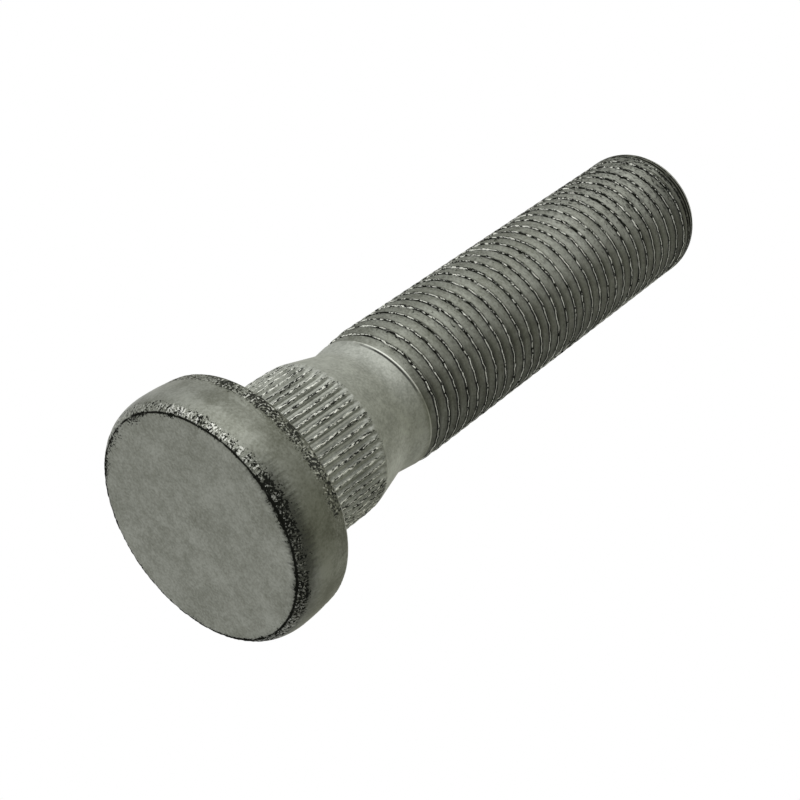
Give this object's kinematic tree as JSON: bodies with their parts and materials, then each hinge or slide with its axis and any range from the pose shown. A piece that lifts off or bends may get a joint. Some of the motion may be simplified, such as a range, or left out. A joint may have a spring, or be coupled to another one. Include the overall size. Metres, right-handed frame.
{
  "type": "wheel stud",
  "caption": "Press-in wheel stud with a round bowed head, a serrated shoulder, a waisted neck and a long fine-threaded shank.",
  "frame": {"origin": "centre of the head's flat face, on which the stud stands", "axes": "+Z along the stud's axis, from the head towards the threaded tip"},
  "size_m": [0.0234, 0.0234, 0.071],
  "materials": {
    "coated_steel": "matt silver-grey flake coating over steel, mottled, with rough dark edges"
  },
  "bodies": {
    "root": {"wheel_stud": "coated_steel"}
  },
  "joints": []
}
